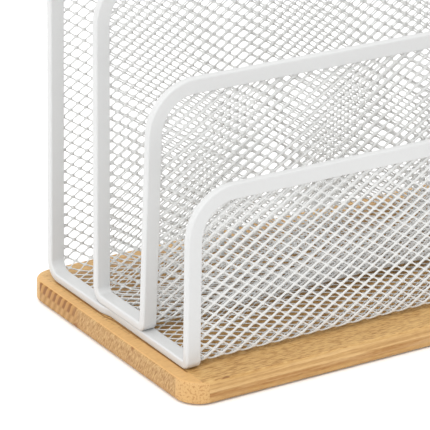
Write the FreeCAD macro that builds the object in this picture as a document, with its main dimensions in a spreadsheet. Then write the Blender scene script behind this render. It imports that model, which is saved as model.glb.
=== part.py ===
import FreeCAD, Part
import math
import os
from enum import IntEnum
import Sketcher

# Letter sorter: two U-shaped trays of expanded steel mesh, one nested in the other, make four
# walls that step down from back to front.  A flat steel strip is folded over the whole edge of
# each tray.  The trays stand on a bamboo board.
# Millimetres, +Z up, +Y to the back, +X to the right when seen from the front.
# Origin: centre of the lowest face, so the foot pads stand on Z = 0.

SIZES = (
    ("tray_width", 237.0),
    ("tray_depth", 105.0),
    ("board_side_margin", 5.8),
    ("board_front_margin", 11.5),
    ("board_rear_margin", 6.0),
    ("board_thickness", 9.0),
    ("board_corner_radius", 10.0),
    ("board_edge_ease", 1.0),
    ("front_wall_height", 71.0),
    ("wall_step", 32.0),
    ("strip_width", 6.0),
    ("strip_thickness", 3.4),
    ("top_corner_radius", 20.0),
    ("front_bend_radius", 3.6),
    ("outer_bend_radius", 8.0),
    ("inner_tray_setback", 31.3),
    ("inner_tray_depth", 38.0),
    ("inner_bend_radius", 6.0),
    ("inner_front_lean", 1.9),
    ("inner_rear_lean", 0.6),
    ("seam_setback", 56.0),
    ("seam_gap", 0.2),
    ("mesh_long_pitch", 7.2),
    ("mesh_short_pitch", 4.7),
    ("strand_width", 0.65),
    ("strand_thickness", 0.5),
    ("strand_clearance", 0.05),
    ("screw_diameter", 3.0),
    ("screw_grip", 2.6),
    ("screw_inset", 18.0),
    ("screw_hole_clearance", 0.4),
    ("screw_head_diameter", 5.6),
    ("screw_head_height", 1.9),
    ("screw_head_clearance", 0.8),
    ("screw_recess_depth", 3.0),
    ("drive_slot_width", 0.9),
    ("drive_slot_length", 3.2),
    ("drive_slot_depth", 1.0),
    ("pad_diameter", 10.0),
    ("pad_thickness", 2.0),
    ("pad_standout", 0.5),
    ("pad_inset", 16.0),
    ("pad_clearance", 0.2),
)
BEND_FACETS = 1

XY_PLANE = "XY_Plane"
XZ_PLANE = "XZ_Plane"
YZ_PLANE = "YZ_Plane"


class Spot(IntEnum):
    """Sketcher's numbers for the points of an edge."""

    START = 1
    END = 2
    CENTRE = 3


class Axis(IntEnum):
    """Sketcher's numbers for its own axes; the origin is the first point of the X axis."""

    X = -1
    Y = -2


START, END, CENTRE = Spot.START, Spot.END, Spot.CENTRE
ORIGIN = Axis.X

doc = FreeCAD.newDocument("letter_sorter")
sheet = doc.addObject("Spreadsheet::Sheet", "Sizes")
for row, (alias, value) in enumerate(SIZES, start=1):
    sheet.set(f"A{row}", alias)
    sheet.set(f"B{row}", str(value))
    sheet.setAlias(f"B{row}", alias)
doc.recompute()


def size(alias):
    """Value of one driving dimension, in millimetres or degrees."""
    return float(sheet.get(alias))


# ---------------------------------------------------------------- sketch helpers

def sketch_on(body, name, role, height=None):
    """Empty sketch on one of the body's origin planes, raised along the plane's normal."""
    sketch = body.newObject("Sketcher::SketchObject", name)
    plane = next(item for item in body.Origin.OriginFeatures if item.Role == role)
    sketch.AttachmentSupport = [(plane, "")]
    sketch.MapMode = "FlatFace"
    if height is not None:
        sketch.setExpression("AttachmentOffset.Base.z", height)
    return sketch


def line(sketch, start, end):
    """Straight edge between two sketch points; returns its index."""
    points = [FreeCAD.Vector(*point, 0) for point in (start, end)]
    return sketch.addGeometry(Part.LineSegment(*points), False)


def arc(sketch, centre, radius, first, last):
    """Arc drawn counter-clockwise between two angles in degrees; returns its index."""
    circle = Part.Circle(FreeCAD.Vector(*centre, 0), FreeCAD.Vector(0, 0, 1), radius)
    curve = Part.ArcOfCircle(circle, math.radians(first), math.radians(last))
    return sketch.addGeometry(curve, False)


def rule(sketch, kind, *where):
    """Geometric constraint without a value."""
    sketch.addConstraint(Sketcher.Constraint(kind, *where))


def dimension(sketch, kind, where, value, formula):
    """Constraint whose value follows a formula of the sheet's cells."""
    index = sketch.addConstraint(Sketcher.Constraint(kind, *where, value))
    sketch.setExpression(f"Constraints[{index}]", formula)


def pocket(body, name, sketch, formula, reverse):
    """Cut the sketch into the body and make sure that it removed material."""
    before = body.Shape.Volume
    cut = body.newObject("PartDesign::Pocket", name)
    cut.Profile = sketch
    cut.Type = 0
    cut.setExpression("Length", formula)
    cut.Reversed = reverse
    body.Tip = cut
    doc.recompute()
    if not body.Shape.Volume < before:
        raise ValueError(f"{name} cuts nothing")


def dress_edges(body, name, kind, amount, formula, chosen):
    """Fillet or chamfer the edges of the body that the test picks."""
    base = body.Tip
    names = [f"Edge{i}" for i, edge in enumerate(base.Shape.Edges, start=1) if chosen(edge)]
    dressing = body.newObject(kind, name)
    dressing.Base = (base, names)
    dressing.setExpression(amount, formula)
    body.Tip = dressing
    doc.recompute()


def rounded_rectangle(sketch, width, depth, radius, width_cell, depth_cell, radius_cell):
    """Closed rectangle with four equal round corners, centred on the sketch origin."""
    x = width / 2
    y = depth / 2
    right = line(sketch, (x, radius - y), (x, y - radius))
    top = line(sketch, (x - radius, y), (radius - x, y))
    left = line(sketch, (-x, y - radius), (-x, radius - y))
    bottom = line(sketch, (radius - x, -y), (x - radius, -y))
    sides = (bottom, right, top, left)
    centres = ((x - radius, radius - y), (x - radius, y - radius),
               (radius - x, y - radius), (radius - x, radius - y))
    corners = []
    for number, centre in enumerate(centres):
        corners.append(arc(sketch, centre, radius, 90 * number - 90, 90 * number))
    for number, corner in enumerate(corners):
        rule(sketch, "Tangent", sides[number], END, corner, START)
        rule(sketch, "Tangent", corner, END, sides[(number + 1) % len(sides)], START)
    for corner in corners[1:]:
        rule(sketch, "Equal", corners[0], corner)
    rule(sketch, "Horizontal", bottom)
    rule(sketch, "Vertical", right)
    rule(sketch, "Symmetric", corners[0], CENTRE, corners[2], CENTRE, ORIGIN, START)
    dimension(sketch, "Radius", (corners[0],), radius, radius_cell)
    dimension(sketch, "DistanceX", (left, START, right, START), width, width_cell)
    dimension(sketch, "DistanceY", (bottom, START, top, START), depth, depth_cell)


def circles(sketch, diameter_formula, radius, places):
    """One circle for each place, all of one diameter; a place is x, y and their formulas."""
    for x, y, x_formula, y_formula in places:
        centre = FreeCAD.Vector(x, y, 0)
        index = sketch.addGeometry(Part.Circle(centre, FreeCAD.Vector(0, 0, 1), radius), False)
        dimension(sketch, "Diameter", (index,), 2 * radius, diameter_formula)
        dimension(sketch, "DistanceX", (ORIGIN, START, index, CENTRE), x, x_formula)
        dimension(sketch, "DistanceY", (ORIGIN, START, index, CENTRE), y, y_formula)


# ---------------------------------------------------------------- heights and places

def board_width():
    """Length of the board from left to right."""
    return size("tray_width") + 2 * size("board_side_margin")


def board_depth():
    """Length of the board from front to back."""
    return size("board_front_margin") + size("tray_depth") + size("board_rear_margin")


def tray_front():
    """Place of the outer tray's front face, measured from the board's middle."""
    return size("board_front_margin") - board_depth() / 2


def board_top():
    """Height of the board's upper face, on which the outer tray stands."""
    return size("pad_standout") + size("board_thickness")


BOARD_WIDTH = "(Sizes.tray_width + 2 * Sizes.board_side_margin)"
BOARD_DEPTH = "(Sizes.board_front_margin + Sizes.tray_depth + Sizes.board_rear_margin)"
BOARD_TOP = "Sizes.pad_standout + Sizes.board_thickness"
TRAY_FRONT = f"(Sizes.board_front_margin - {BOARD_DEPTH} / 2)"
SCREW_X = "(Sizes.tray_width - Sizes.strip_width) / 2"
SCREW_Y = "(Sizes.tray_depth / 2 - Sizes.screw_inset)"


def screw_places(front, front_formula):
    """Four screws, two under each side rail of the outer tray, whose front is at y = front."""
    x = (size("tray_width") - size("strip_width")) / 2
    y = size("tray_depth") / 2 - size("screw_inset")
    middle = front + size("tray_depth") / 2
    middle_formula = f"{front_formula} + Sizes.tray_depth / 2"
    return [(side * x, middle + end * y,
             f"{side} * ({SCREW_X})", f"{middle_formula} + {end} * {SCREW_Y}")
            for side in (-1, 1) for end in (-1, 1)]


def pad_places():
    """Four pads, one near each corner of the board."""
    x = board_width() / 2 - size("pad_inset")
    y = board_depth() / 2 - size("pad_inset")
    x_formula = f"({BOARD_WIDTH} / 2 - Sizes.pad_inset)"
    y_formula = f"({BOARD_DEPTH} / 2 - Sizes.pad_inset)"
    return [(side * x, end * y, f"{side} * {x_formula}", f"{end} * {y_formula}")
            for side in (-1, 1) for end in (-1, 1)]


# ---------------------------------------------------------------- bamboo board

def make_board():
    """Flat board with round corners, eased edges, screw holes and shallow pad sockets."""
    body = doc.addObject("PartDesign::Body", "base_board")
    body.Label = "base_board"
    body.setExpression("Placement.Base.z", "Sizes.pad_standout")
    outline = sketch_on(body, "board_outline", XY_PLANE)
    rounded_rectangle(outline, board_width(), board_depth(), size("board_corner_radius"),
                      BOARD_WIDTH, BOARD_DEPTH, "Sizes.board_corner_radius")
    slab = body.newObject("PartDesign::Pad", "board_slab")
    slab.Profile = outline
    slab.setExpression("Length", "Sizes.board_thickness")
    body.Tip = slab
    doc.recompute()

    def is_rim(edge):
        """Edges round the upper and lower faces."""
        return edge.BoundBox.ZLength < size("board_edge_ease") / 2
    dress_edges(body, "eased_edges", "PartDesign::Chamfer", "Size", "Sizes.board_edge_ease",
                is_rim)

    holes = sketch_on(body, "screw_holes", XY_PLANE)
    hole_radius = (size("screw_diameter") + size("screw_hole_clearance")) / 2
    circles(holes, "Sizes.screw_diameter + Sizes.screw_hole_clearance", hole_radius,
            screw_places(tray_front(), TRAY_FRONT))
    pocket(body, "screw_bores", holes, "Sizes.board_thickness", True)

    recesses = sketch_on(body, "head_recesses", XY_PLANE)
    recess_radius = (size("screw_head_diameter") + size("screw_head_clearance")) / 2
    circles(recesses, "Sizes.screw_head_diameter + Sizes.screw_head_clearance", recess_radius,
            screw_places(tray_front(), TRAY_FRONT))
    pocket(body, "head_counterbores", recesses, "Sizes.screw_recess_depth", True)

    sockets = sketch_on(body, "pad_outlines", XY_PLANE)
    socket_radius = (size("pad_diameter") + size("pad_clearance")) / 2
    circles(sockets, "Sizes.pad_diameter + Sizes.pad_clearance", socket_radius, pad_places())
    pocket(body, "pad_sockets", sockets, "Sizes.pad_thickness - Sizes.pad_standout", True)
    return body


# ---------------------------------------------------------------- folded steel strips

class Tray:
    """Sizes of one U-shaped tray.

    The tray's own frame has X across the middle, Y from the outer face of its front wall at
    the foot, and Z from the underside of its floor rails.
    """

    def __init__(self, name, depth, bend, front_top, rear_top, front_lean, rear_lean):
        self.name = name
        self.depth = depth
        self.bend = bend
        self.front_top = front_top
        self.rear_top = rear_top
        self.front_lean = front_lean
        self.rear_lean = rear_lean


def tray_profile(body, tray):
    """Side view of the strip: front wall, close front bend, floor, rear bend, rear wall."""
    sketch = sketch_on(body, f"{tray.name}_side_view", YZ_PLANE)
    depth, bend = tray.depth[0], tray.bend[0]
    heel, lean = size("front_bend_radius"), math.radians(tray.front_lean[0])
    heel_place = heel * (1 - math.sin(lean)) / math.cos(lean)
    face_foot = (heel_place - heel * math.cos(lean), heel - heel * math.sin(lean))
    thick = size("strip_thickness")
    front_top, rear_top = tray.front_top[0], tray.rear_top[0]
    front_shift = front_top * math.tan(lean)
    rear_shift = rear_top * math.tan(math.radians(tray.rear_lean[0]))
    centre = (depth - bend, bend)
    under = line(sketch, (heel_place, 0), (depth - bend, 0))
    outer_bend = arc(sketch, centre, bend, -90, -tray.rear_lean[0])
    rear_face = line(sketch, (depth, bend), (depth + rear_shift, rear_top))
    rear_edge = line(sketch, (depth + rear_shift, rear_top),
                     (depth + rear_shift - thick, rear_top))
    rear_inside = line(sketch, (depth - thick, bend), (depth + rear_shift - thick, rear_top))
    inner_bend = arc(sketch, centre, bend - thick, -90, -tray.rear_lean[0])
    floor = line(sketch, (thick, thick), (depth - bend, thick))
    front_inside = line(sketch, (thick, thick), (thick - front_shift, front_top))
    front_edge = line(sketch, (-front_shift, front_top), (thick - front_shift, front_top))
    front_face = line(sketch, face_foot, (-front_shift, front_top))
    front_bend = arc(sketch, (heel_place, heel), heel, 180 + tray.front_lean[0], 270)
    rule(sketch, "Tangent", front_face, START, front_bend, START)
    rule(sketch, "Tangent", front_bend, END, under, START)
    rule(sketch, "Tangent", under, END, outer_bend, START)
    rule(sketch, "Tangent", outer_bend, END, rear_face, START)
    rule(sketch, "Coincident", rear_face, END, rear_edge, START)
    rule(sketch, "Coincident", rear_edge, END, rear_inside, END)
    rule(sketch, "Tangent", rear_inside, START, inner_bend, END)
    rule(sketch, "Tangent", inner_bend, START, floor, END)
    rule(sketch, "Coincident", floor, START, front_inside, START)
    rule(sketch, "Coincident", front_inside, END, front_edge, END)
    rule(sketch, "Coincident", front_edge, START, front_face, END)
    rule(sketch, "Coincident", outer_bend, CENTRE, inner_bend, CENTRE)
    for level in (under, rear_edge, floor, front_edge):
        rule(sketch, "Horizontal", level)
    rule(sketch, "Parallel", rear_face, rear_inside)
    rule(sketch, "Parallel", front_face, front_inside)
    rule(sketch, "PointOnObject", under, START, Axis.X)
    rule(sketch, "PointOnObject", ORIGIN, START, front_face)
    dimension(sketch, "Radius", (front_bend,), heel, "Sizes.front_bend_radius")
    dimension(sketch, "Radius", (outer_bend,), bend, tray.bend[1])
    dimension(sketch, "Radius", (inner_bend,), bend - thick,
              f"{tray.bend[1]} - Sizes.strip_thickness")
    dimension(sketch, "Distance", (front_inside, START, front_face), thick,
              "Sizes.strip_thickness")
    dimension(sketch, "DistanceX", (ORIGIN, START, outer_bend, CENTRE), depth - bend,
              f"{tray.depth[1]} - {tray.bend[1]}")
    dimension(sketch, "DistanceY", (ORIGIN, START, rear_face, END), rear_top, tray.rear_top[1])
    dimension(sketch, "DistanceY", (ORIGIN, START, front_face, END), front_top,
              tray.front_top[1])
    dimension(sketch, "Angle", (rear_face,), math.radians(90 - tray.rear_lean[0]),
              f"90 deg - {tray.rear_lean[1]} * 1 deg")
    dimension(sketch, "Angle", (front_face,), math.radians(90 + tray.front_lean[0]),
              f"90 deg + {tray.front_lean[1]} * 1 deg")
    return sketch


def wall_window(body, tray, side, top, top_formula, reverse):
    """Cut the opening of one wall, together with that half of the floor."""
    middle = f"-({tray.depth[1]}) / 2"
    sketch = sketch_on(body, f"{tray.name}_{side}_window", XZ_PLANE, middle)
    half = size("tray_width") / 2 - size("strip_width")
    head = top - size("strip_width")
    radius = size("top_corner_radius") - size("strip_width")
    left = line(sketch, (-half, 0), (-half, head - radius))
    left_arc = arc(sketch, (radius - half, head - radius), radius, 90, 180)
    ceiling = line(sketch, (radius - half, head), (half - radius, head))
    right_arc = arc(sketch, (half - radius, head - radius), radius, 0, 90)
    right = line(sketch, (half, head - radius), (half, 0))
    sill = line(sketch, (half, 0), (-half, 0))
    rule(sketch, "Tangent", left, END, left_arc, END)
    rule(sketch, "Tangent", left_arc, START, ceiling, START)
    rule(sketch, "Tangent", ceiling, END, right_arc, END)
    rule(sketch, "Tangent", right_arc, START, right, START)
    rule(sketch, "Coincident", right, END, sill, START)
    rule(sketch, "Coincident", sill, END, left, START)
    rule(sketch, "Vertical", left)
    rule(sketch, "Vertical", right)
    rule(sketch, "Horizontal", ceiling)
    rule(sketch, "Equal", left_arc, right_arc)
    rule(sketch, "Symmetric", left, START, right, END, Axis.Y)
    rule(sketch, "PointOnObject", left, START, Axis.X)
    dimension(sketch, "Radius", (left_arc,), radius,
              "Sizes.top_corner_radius - Sizes.strip_width")
    dimension(sketch, "DistanceX", (left, START, right, END), 2 * half,
              "Sizes.tray_width - 2 * Sizes.strip_width")
    dimension(sketch, "DistanceY", (ORIGIN, START, ceiling, START), head,
              f"{top_formula} - Sizes.strip_width")
    pocket(body, f"{tray.name}_{side}_opening", sketch, tray.depth[1], reverse)


def make_strip(tray, screwed):
    """Steel strip folded round the edge of one tray, as one closed loop."""
    body = doc.addObject("PartDesign::Body", f"{tray.name}_tray_frame")
    body.Label = f"{tray.name}_tray_frame"
    profile = tray_profile(body, tray)
    blank = body.newObject("PartDesign::Pad", f"{tray.name}_bent_blank")
    blank.Profile = profile
    blank.Midplane = True
    blank.setExpression("Length", "Sizes.tray_width")
    body.Tip = blank
    doc.recompute()

    side = size("tray_width") / 2
    tops = (tray.front_top[0], tray.rear_top[0])

    def is_top_corner(edge):
        """Short edges along Y at the two upper corners of each wall."""
        box = edge.BoundBox
        at_side = box.XLength < 0.01 and abs(abs(box.XMin) - side) < 0.01
        return at_side and box.ZLength < 0.01 and any(abs(box.ZMax - top) < 0.01 for top in tops)
    dress_edges(body, f"{tray.name}_top_corners", "PartDesign::Fillet", "Radius",
                "Sizes.top_corner_radius", is_top_corner)

    wall_window(body, tray, "front", *tray.front_top, True)
    wall_window(body, tray, "rear", *tray.rear_top, False)
    if screwed:
        cut_seam(body, tray)
        cut_screw_holes(body, tray)
    return body


def cut_seam(body, tray):
    """Butt joint where the two ends of the strip meet, in the left floor rail."""
    sketch = sketch_on(body, f"{tray.name}_seam_outline", XY_PLANE)
    outer = size("tray_width") / 2
    inner = outer - size("strip_width")
    near = size("seam_setback")
    far = near + size("seam_gap")
    front = line(sketch, (-outer, near), (-inner, near))
    right = line(sketch, (-inner, near), (-inner, far))
    rear = line(sketch, (-inner, far), (-outer, far))
    left = line(sketch, (-outer, far), (-outer, near))
    ring = (front, right, rear, left)
    for number, edge in enumerate(ring):
        rule(sketch, "Coincident", edge, END, ring[(number + 1) % len(ring)], START)
    for edge in (front, rear):
        rule(sketch, "Horizontal", edge)
    for edge in (left, right):
        rule(sketch, "Vertical", edge)
    dimension(sketch, "DistanceX", (front, START, ORIGIN, START), outer,
              "Sizes.tray_width / 2")
    dimension(sketch, "DistanceX", (front, START, front, END), outer - inner,
              "Sizes.strip_width")
    dimension(sketch, "DistanceY", (ORIGIN, START, front, START), near, "Sizes.seam_setback")
    dimension(sketch, "DistanceY", (right, START, right, END), far - near, "Sizes.seam_gap")
    pocket(body, f"{tray.name}_seam", sketch, "Sizes.strip_thickness", True)


def cut_screw_holes(body, tray):
    """Blind tapped holes in the underside of the two floor rails."""
    sketch = sketch_on(body, f"{tray.name}_tapped_holes", XY_PLANE)
    circles(sketch, "Sizes.screw_diameter", size("screw_diameter") / 2,
            screw_places(0.0, "0"))
    pocket(body, f"{tray.name}_screw_seats", sketch, "Sizes.screw_grip", True)


# ---------------------------------------------------------------- expanded mesh

class Panel:
    """One flat stretch of the bent mesh sheet, met by the distance along the sheet."""

    def __init__(self, first, start, end, start_radius=0.0, end_radius=0.0):
        self.first = first
        self.last = first + math.dist(start, end)
        self.start = start
        self.along = [(b - a) / math.dist(start, end) for a, b in zip(start, end)]
        self.radii = ((self.first, 1, start_radius), (self.last, -1, end_radius))

    def point(self, x, distance):
        """Place in the tray's frame of a point of the sheet's middle surface."""
        step = distance - self.first
        return FreeCAD.Vector(x, self.start[0] + step * self.along[0],
                              self.start[1] + step * self.along[1])

    def normal(self):
        """Unit vector square to the panel."""
        return FreeCAD.Vector(0, -self.along[1], self.along[0])


def clip_line(panel, half, offset, slope):
    """Part of the line x = offset + slope * distance that lies inside the panel's outline."""
    crossings = sorted(((-half - offset) / slope, (half - offset) / slope))
    low = max(panel.first, crossings[0])
    high = min(panel.last, crossings[1])
    for edge, inward, radius in panel.radii:
        centre = edge + inward * radius
        for side in (-1, 1):
            centre_x = side * (half - radius)
            end = low if inward > 0 else high
            end_x = offset + slope * end
            if (end - centre) * inward >= 0 or (end_x - centre_x) * side <= 0:
                continue
            gap = offset - centre_x
            a = slope * slope + 1
            b = 2 * (slope * gap - centre)
            c = gap * gap + centre * centre - radius * radius
            inside = b * b - 4 * a * c
            if inside <= 0:
                return None
            root = (-b - inward * math.sqrt(inside)) / (2 * a)
            low = root if inward > 0 else low
            high = root if inward < 0 else high
    return (low, high) if high - low > size("mesh_long_pitch") / 2 else None


def strand(panel, half, offset, slope, layer):
    """One straight strand of a panel, cut off at the panel's outline."""
    shift = size("strand_width") / 2 * math.hypot(slope, 1)
    edges = [clip_line(panel, half, offset + side * shift, slope) for side in (-1, 1)]
    if None in edges:
        return None
    corners = []
    for side, edge in zip((-1, 1), edges):
        ends = edge if side < 0 else edge[::-1]
        for distance in ends:
            x = offset + side * shift + slope * distance
            corners.append(panel.point(x, distance))
    outline = Part.makePolygon(corners + corners[:1])
    return Part.Face(outline).extrude(panel.normal() * (layer * size("strand_thickness")))


def panel_strands(panel, half):
    """Both crossing layers of strands of one panel."""
    pitch = size("mesh_long_pitch")
    slope = pitch / size("mesh_short_pitch")
    reach = half + slope * panel.last
    count = math.ceil(reach / pitch)
    solids = []
    for layer in (-1, 1):
        for number in range(-count, count + 1):
            solid = strand(panel, half, number * pitch, layer * slope, layer)
            if solid is not None:
                solids.append(solid)
    return solids


def mesh_panels(tray):
    """Front wall, floor, rear bend in short flats, and rear wall, joined in this order."""
    middle = size("strip_thickness") / 2
    layer = size("strand_thickness")
    gap = size("strand_clearance")
    rail = size("strip_width") + gap
    corner = size("top_corner_radius") - size("strip_width") - gap
    front = math.radians(tray.front_lean[0])
    rear = math.radians(tray.rear_lean[0])
    rise = middle * (1 - math.sin(front)) / math.cos(front)
    foot = (middle * math.cos(front) - rise * math.sin(front), middle)

    def on_front(height):
        """Point of the front wall's middle surface at a height."""
        return (foot[0] - (height - foot[1]) * math.tan(front), height)

    centre = (tray.depth[0] - tray.bend[0], tray.bend[0])
    radius = tray.bend[0] - middle
    sweep = math.pi / 2 - rear

    def on_bend(share):
        """Point of the rear bend's middle surface, from 0 at the floor to 1 at the wall."""
        angle = share * sweep - math.pi / 2
        return (centre[0] + radius * math.cos(angle), centre[1] + radius * math.sin(angle))

    wall_start = on_bend(1)
    rear_height = tray.rear_top[0] - rail - wall_start[1]
    wall_end = (wall_start[0] + rear_height * math.tan(rear), wall_start[1] + rear_height)
    flats = [(on_front(tray.front_top[0] - rail), on_front(middle + layer)),
             ((foot[0] - layer, middle), on_bend(0))]
    for number in range(BEND_FACETS):
        flats.append((on_bend(number / BEND_FACETS), on_bend((number + 1) / BEND_FACETS)))
    flats.append((wall_start, wall_end))
    panels = []
    travelled = 0.0
    mitre = layer * math.tan(sweep / BEND_FACETS / 2) + gap
    for number, (start, end) in enumerate(flats):
        whole = math.dist(start, end)
        head = mitre if number > 1 else 0.0
        tail = mitre if 0 < number < len(flats) - 1 else 0.0
        ends = [tuple(a + (b - a) * share for a, b in zip(start, end))
                for share in (head / whole, 1 - tail / whole)]
        panels.append(Panel(travelled + head, *ends,
                            start_radius=corner if number == 0 else 0.0,
                            end_radius=corner if number == len(flats) - 1 else 0.0))
        travelled += whole
    return panels


def make_mesh(tray):
    """Expanded mesh sheet of one tray, its strands running in two crossing layers."""
    half = size("tray_width") / 2 - size("strip_width") - size("strand_clearance")
    solids = []
    for panel in mesh_panels(tray):
        solids.extend(panel_strands(panel, half))
    node = doc.addObject("Part::Feature", f"{tray.name}_tray_mesh")
    node.Label = f"{tray.name}_tray_mesh"
    node.Shape = Part.makeCompound(solids)
    return node


# ---------------------------------------------------------------- screws and pads

def make_screws():
    """Pan-head screws driven from below, through the board into the outer tray's rails."""
    screws = []
    places = screw_places(tray_front(), TRAY_FRONT)
    for number, (x, y, x_formula, y_formula) in enumerate(places, start=1):
        head = doc.addObject("Part::Cylinder", f"screw_head_{number}")
        head.setExpression("Radius", "Sizes.screw_head_diameter / 2")
        head.setExpression("Height", "Sizes.screw_head_height")
        head.setExpression("Placement.Base.z",
                           "Sizes.screw_recess_depth - Sizes.screw_head_height")
        shank = doc.addObject("Part::Cylinder", f"screw_shank_{number}")
        shank.setExpression("Radius", "Sizes.screw_diameter / 2")
        shank.setExpression("Height", "Sizes.board_thickness - Sizes.screw_recess_depth"
                            " + Sizes.screw_grip")
        shank.setExpression("Placement.Base.z", "Sizes.screw_recess_depth")
        blank = doc.addObject("Part::Fuse", f"screw_blank_{number}")
        blank.Base = head
        blank.Tool = shank
        slots = [drive_slot(number, turned) for turned in (False, True)]
        recess = doc.addObject("Part::Fuse", f"drive_recess_{number}")
        recess.Base, recess.Tool = slots
        screw = doc.addObject("Part::Cut", f"screw_{number}")
        screw.Base = blank
        screw.Tool = recess
        screw.setExpression("Placement.Base.x", x_formula)
        screw.setExpression("Placement.Base.y", y_formula)
        screw.setExpression("Placement.Base.z", "Sizes.pad_standout")
        screws.append(screw)
    group = doc.addObject("Part::Compound", "base_screws")
    group.Label = "base_screws"
    group.Links = screws
    return group


def drive_slot(number, turned):
    """One arm pair of the cross recess in a screw head."""
    slot = doc.addObject("Part::Box", f"drive_slot_{number}_{'y' if turned else 'x'}")
    long_side, short_side = ("Width", "Length") if turned else ("Length", "Width")
    long_axis, short_axis = ("y", "x") if turned else ("x", "y")
    slot.setExpression(long_side, "Sizes.drive_slot_length")
    slot.setExpression(short_side, "Sizes.drive_slot_width")
    slot.setExpression("Height", "Sizes.drive_slot_depth")
    slot.setExpression(f"Placement.Base.{long_axis}", "-Sizes.drive_slot_length / 2")
    slot.setExpression(f"Placement.Base.{short_axis}", "-Sizes.drive_slot_width / 2")
    slot.setExpression("Placement.Base.z", "Sizes.screw_recess_depth - Sizes.screw_head_height")
    return slot


def make_pads():
    """Round non-slip pads, seated in the board's sockets and standing out a little."""
    pads = []
    for number, (x, y, x_formula, y_formula) in enumerate(pad_places(), start=1):
        pad = doc.addObject("Part::Cylinder", f"pad_{number}")
        pad.setExpression("Radius", "Sizes.pad_diameter / 2")
        pad.setExpression("Height", "Sizes.pad_thickness")
        pad.setExpression("Placement.Base.x", x_formula)
        pad.setExpression("Placement.Base.y", y_formula)
        pads.append(pad)
    group = doc.addObject("Part::Compound", "foot_pads")
    group.Label = "foot_pads"
    group.Links = pads
    return group


# ---------------------------------------------------------------- assembly

def cell_and_value(formula, value):
    """A size as its number and as the formula that the document keeps."""
    return (value, formula)


def outer_tray():
    """The larger tray: tallest wall at the back, lowest wall at the front."""
    return Tray(
        "outer",
        depth=cell_and_value("Sizes.tray_depth", size("tray_depth")),
        bend=cell_and_value("Sizes.outer_bend_radius", size("outer_bend_radius")),
        front_top=cell_and_value("Sizes.front_wall_height", size("front_wall_height")),
        rear_top=cell_and_value("(Sizes.front_wall_height + 3 * Sizes.wall_step)",
                                size("front_wall_height") + 3 * size("wall_step")),
        front_lean=cell_and_value("0", 0.0),
        rear_lean=cell_and_value("0", 0.0))


def inner_tray():
    """The smaller tray, standing on the outer tray's floor rails; its walls splay a little."""
    lift = size("strip_thickness")
    return Tray(
        "inner",
        depth=cell_and_value("Sizes.inner_tray_depth", size("inner_tray_depth")),
        bend=cell_and_value("Sizes.inner_bend_radius", size("inner_bend_radius")),
        front_top=cell_and_value(
            "(Sizes.front_wall_height + Sizes.wall_step - Sizes.strip_thickness)",
            size("front_wall_height") + size("wall_step") - lift),
        rear_top=cell_and_value(
            "(Sizes.front_wall_height + 2 * Sizes.wall_step - Sizes.strip_thickness)",
            size("front_wall_height") + 2 * size("wall_step") - lift),
        front_lean=cell_and_value("Sizes.inner_front_lean", size("inner_front_lean")),
        rear_lean=cell_and_value("Sizes.inner_rear_lean", size("inner_rear_lean")))


def seat(frame, mesh, y, z, y_formula, z_formula):
    """Put a tray's strip and its mesh at the same place."""
    frame.setExpression("Placement.Base.y", y_formula)
    frame.setExpression("Placement.Base.z", z_formula)
    mesh.Placement = FreeCAD.Placement(FreeCAD.Vector(0, y, z), FreeCAD.Rotation())


board = make_board()
outer = outer_tray()
outer_frame = make_strip(outer, screwed=True)
outer_mesh = make_mesh(outer)
seat(outer_frame, outer_mesh, tray_front(), board_top(), TRAY_FRONT, BOARD_TOP)
inner = inner_tray()
inner_frame = make_strip(inner, screwed=False)
inner_mesh = make_mesh(inner)
seat(inner_frame, inner_mesh, tray_front() + size("inner_tray_setback"),
     board_top() + size("strip_thickness"),
     f"{TRAY_FRONT} + Sizes.inner_tray_setback", f"{BOARD_TOP} + Sizes.strip_thickness")
screws = make_screws()
pads = make_pads()
doc.recompute()

parts = (board, outer_frame, outer_mesh, inner_frame, inner_mesh, screws, pads)
for item in doc.Objects:
    if "Invalid" in item.State or "Error" in item.State:
        raise ValueError(f"{item.Name} failed: {item.State}")
for part in parts:
    if part.Shape.isNull() or not part.Shape.isValid():
        raise ValueError(f"{part.Label} has no valid shape")

os.makedirs("parts", exist_ok=True)
for part in parts:
    part.Shape.exportStep(f"parts/{part.Label}.step")
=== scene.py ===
"""Looks of the letter sorter: white powder-coated mesh trays on a bamboo board.

Everything is in metres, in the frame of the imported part: +Z up, +Y to the back, origin at the
centre of the lowest face.
"""
import math

import bmesh
import bpy
from mathutils import Matrix, Vector


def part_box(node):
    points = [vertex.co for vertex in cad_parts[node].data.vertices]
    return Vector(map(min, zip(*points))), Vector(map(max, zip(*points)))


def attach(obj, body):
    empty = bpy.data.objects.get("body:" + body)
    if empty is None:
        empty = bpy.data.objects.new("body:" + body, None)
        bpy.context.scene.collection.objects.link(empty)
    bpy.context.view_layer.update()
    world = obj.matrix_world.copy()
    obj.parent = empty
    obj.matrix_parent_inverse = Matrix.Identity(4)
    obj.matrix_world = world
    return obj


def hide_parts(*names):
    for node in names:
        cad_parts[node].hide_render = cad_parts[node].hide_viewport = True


MM = 0.001
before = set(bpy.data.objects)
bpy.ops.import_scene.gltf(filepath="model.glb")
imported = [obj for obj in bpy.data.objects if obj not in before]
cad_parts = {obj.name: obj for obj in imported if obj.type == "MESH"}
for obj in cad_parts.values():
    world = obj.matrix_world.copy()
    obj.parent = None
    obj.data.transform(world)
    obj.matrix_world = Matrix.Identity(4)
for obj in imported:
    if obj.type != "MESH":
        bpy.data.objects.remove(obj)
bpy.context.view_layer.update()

# ------------------------------------------------------------------ sizes shared with the part

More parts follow.
